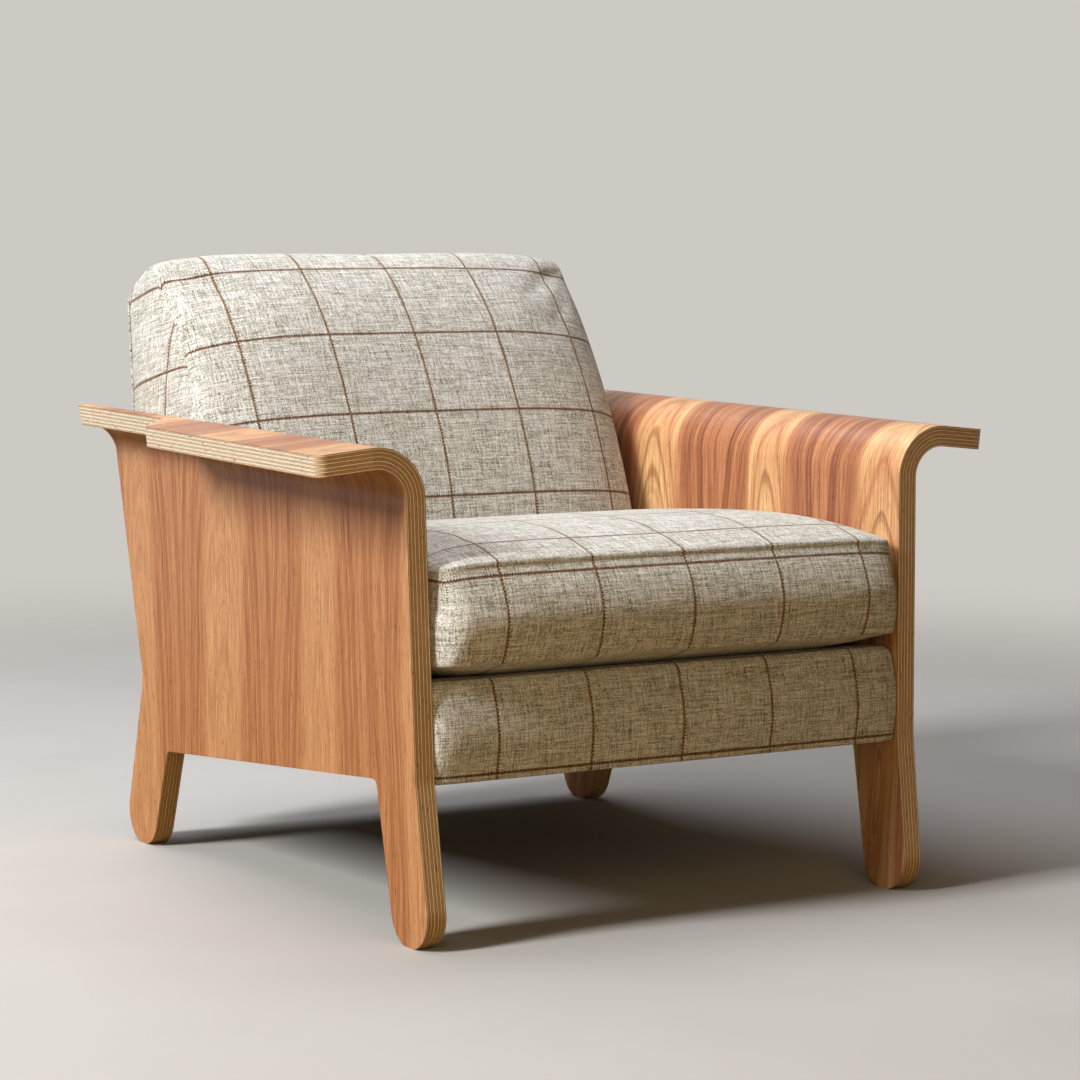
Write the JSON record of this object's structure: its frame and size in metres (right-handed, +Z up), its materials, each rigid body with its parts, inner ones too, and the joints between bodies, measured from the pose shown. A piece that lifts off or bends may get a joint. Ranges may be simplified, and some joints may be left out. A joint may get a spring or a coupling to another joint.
{
  "type": "lounge chair",
  "caption": "Low lounge chair on bent-plywood sides that form legs and flared arms, with an upholstered raked back and a loose boxed seat cushion.",
  "frame": {"origin": "on the floor, under the middle of the chair's overall box", "axes": "+X across the width to the sitter's left, the picture's right; +Y towards the back, so the seat opens towards -Y; +Z up"},
  "size_m": [0.8894, 0.8217, 0.7274],
  "materials": {
    "moulded_plywood": "satin oiled veneer, edges clear lacquered",
    "frame_timber": "planed, unfinished",
    "webbing": "woven elastic",
    "wadding": "matte",
    "lining_cloth": "matte non-woven",
    "check_fabric": "matte slubby weave with a windowpane check",
    "foam": "matte open cell",
    "zip_tape": "woven tape with a nylon coil",
    "zinc_steel": "zinc plated",
    "brass": "machined"
  },
  "bodies": {
    "frame": {"left_side_panel": "moulded_plywood", "right_side_panel": "moulded_plywood", "left_seat_rail": "frame_timber", "right_seat_rail": "frame_timber", "front_seat_rail": "frame_timber", "rear_seat_rail": "frame_timber", "corner_blocks": "frame_timber", "seat_webbing_long": "webbing", "seat_webbing_cross": "webbing", "deck_pad": "wadding", "deck_cloth": "lining_cloth", "front_rail_padding": "wadding", "base_front_cover": "check_fabric", "dust_cover": "lining_cloth", "left_back_post": "frame_timber", "right_back_post": "frame_timber", "back_top_rail": "frame_timber", "back_lower_rail": "frame_timber", "back_webbing": "webbing", "back_foam": "foam", "back_cover": "check_fabric", "back_outer_panel": "check_fabric", "panel_bolts": "zinc_steel", "bolt_washers": "zinc_steel", "threaded_inserts": "brass"},
    "seat_cushion": {"seat_cushion_core": "foam", "seat_cushion_cover": "check_fabric", "cushion_zip": "zip_tape"},
    "zip_slider": {"zip_slider": "zinc_steel"}
  },
  "joints": [
    {"name": "seat_cushion_lift", "type": "slide", "parent": "frame", "child": "seat_cushion", "axis": [0, 0, 1], "range_m": [0, 0.25]},
    {"name": "zip_slide", "type": "slide", "parent": "seat_cushion", "child": "zip_slider", "axis": [1, 0, 0], "range_m": [0, 0.416]}
  ]
}
